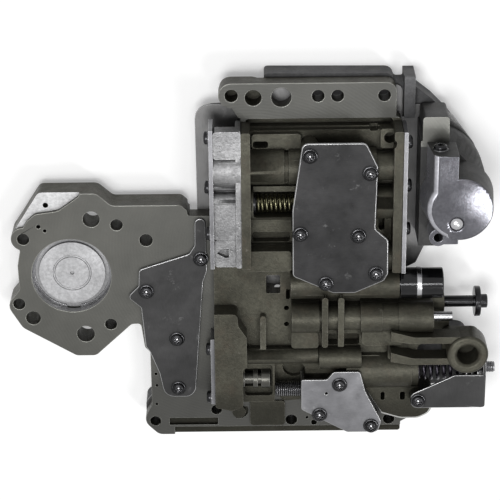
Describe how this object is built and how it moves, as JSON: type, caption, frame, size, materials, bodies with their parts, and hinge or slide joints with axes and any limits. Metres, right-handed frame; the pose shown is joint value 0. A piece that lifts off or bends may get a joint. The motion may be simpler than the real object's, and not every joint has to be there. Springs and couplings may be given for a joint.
{
  "type": "transmission valve body",
  "caption": "Cast automatic transmission valve body with sliding spool valves, springs, cover plates, an accumulator wing and a side housing; it bolts into a gearbox sump.",
  "frame": {"origin": "on the back face that the part lies on, near the middle of the valve housing", "axes": "+X along the valve bores to the manual valve's end, +Y towards the top bar, +Z out of the machined face"},
  "size_m": [0.296, 0.233, 0.0651],
  "materials": {
    "olive_casting": "die cast, greenish chromate film, machined faces satin",
    "dark_casting": "die cast, dull",
    "raw_casting": "bright die cast skin",
    "dark_sheet": "oiled sheet steel, bright sheared edges",
    "bright_sheet": "zinc plated sheet",
    "screw_steel": "phosphated, bright worn edges",
    "ground_steel": "ground and polished",
    "black_oxide": "black oxide, oiled",
    "spring_wire": "yellow plated wire",
    "seal_rubber": "matte"
  },
  "bodies": {
    "housing": {"valve_housing": "olive_casting", "transfer_plate": "dark_casting", "governor_housing": "dark_casting", "shift_end_cover": "raw_casting", "governor_cover": "raw_casting", "separator_plate": "dark_sheet", "left_cover": "dark_sheet", "centre_cover": "dark_sheet", "regulator_bracket": "dark_sheet", "left_end_plate": "bright_sheet", "lower_end_plate": "bright_sheet", "right_end_plate": "bright_sheet", "throttle_bracket": "bright_sheet", "centre_cover_screws": "screw_steel", "left_cover_screws": "screw_steel", "throttle_bracket_screws": "screw_steel", "left_end_screws": "screw_steel", "lower_end_screws": "screw_steel", "right_end_screws": "screw_steel", "regulator_bracket_screw": "screw_steel", "transfer_screws": "screw_steel", "governor_screw": "screw_steel", "regulator_spring_seat": "screw_steel", "kickdown_bush": "ground_steel", "governor_pin": "ground_steel", "solenoid_band": "ground_steel", "check_balls": "ground_steel", "accumulator_snap_ring": "black_oxide", "regulator_spring": "black_oxide", "shift_plug_2": "black_oxide", "solenoid_body": "black_oxide", "shift_spring_1": "spring_wire", "shift_spring_2": "spring_wire", "shift_spring_3": "spring_wire", "kickdown_spring": "spring_wire", "throttle_spring": "spring_wire", "accumulator_spring": "spring_wire"},
    "shift_valve_1": {"shift_valve_1": "ground_steel"},
    "shift_valve_2": {"shift_valve_2": "ground_steel"},
    "shift_valve_3": {"shift_valve_3": "ground_steel"},
    "kickdown_valve": {"kickdown_valve": "ground_steel"},
    "manual_valve": {"manual_valve": "black_oxide"},
    "throttle_valve": {"throttle_valve": "ground_steel"},
    "regulator_valve": {"regulator_valve": "ground_steel"},
    "accumulator_piston": {"accumulator_piston": "raw_casting", "accumulator_seal": "seal_rubber"},
    "line_pressure_screw": {"line_pressure_screw": "screw_steel"},
    "throttle_screw": {"throttle_screw": "black_oxide"}
  },
  "joints": [
    {"name": "shift_valve_1_slide", "type": "slide", "parent": "housing", "child": "shift_valve_1", "axis": [1, 0, 0], "range_m": [0, 0.007], "stiffness_N_per_m": 300, "springref_m": -0.006, "deforming": ["shift_spring_1"]},
    {"name": "shift_valve_2_slide", "type": "slide", "parent": "housing", "child": "shift_valve_2", "axis": [-1, 0, 0], "range_m": [0, 0.007], "stiffness_N_per_m": 300, "springref_m": -0.006, "deforming": ["shift_spring_2"]},
    {"name": "shift_valve_3_slide", "type": "slide", "parent": "housing", "child": "shift_valve_3", "axis": [1, 0, 0], "range_m": [0, 0.007], "stiffness_N_per_m": 250, "springref_m": -0.006, "deforming": ["shift_spring_3"]},
    {"name": "kickdown_slide", "type": "slide", "parent": "housing", "child": "kickdown_valve", "axis": [-1, 0, 0], "range_m": [0, 0.007], "stiffness_N_per_m": 400, "springref_m": -0.005, "deforming": ["kickdown_spring"]},
    {"name": "manual_slide", "type": "slide", "parent": "housing", "child": "manual_valve", "axis": [1, 0, 0], "range_m": [-0.016, 0.006]},
    {"name": "throttle_slide", "type": "slide", "parent": "housing", "child": "throttle_valve", "axis": [-1, 0, 0], "range_m": [0, 0.005], "stiffness_N_per_m": 400, "springref_m": -0.005, "deforming": ["throttle_spring"]},
    {"name": "regulator_slide", "type": "slide", "parent": "housing", "child": "regulator_valve", "axis": [1, 0, 0], "range_m": [0, 0.006], "stiffness_N_per_m": 1500, "springref_m": -0.008, "deforming": ["regulator_spring"]},
    {"name": "accumulator_slide", "type": "slide", "parent": "housing", "child": "accumulator_piston", "axis": [0, 0, -1], "range_m": [0, 0.004], "stiffness_N_per_m": 2000, "springref_m": -0.005, "deforming": ["accumulator_spring"]},
    {"name": "line_pressure_turn", "type": "hinge", "parent": "housing", "child": "line_pressure_screw", "pos_m": [0.144, -0.0795, 0.0275], "axis": [1, 0, 0], "continuous": true},
    {"name": "throttle_pressure_turn", "type": "hinge", "parent": "housing", "child": "throttle_screw", "pos_m": [0.026, -0.09, 0.034], "axis": [1, 0, 0], "continuous": true}
  ]
}
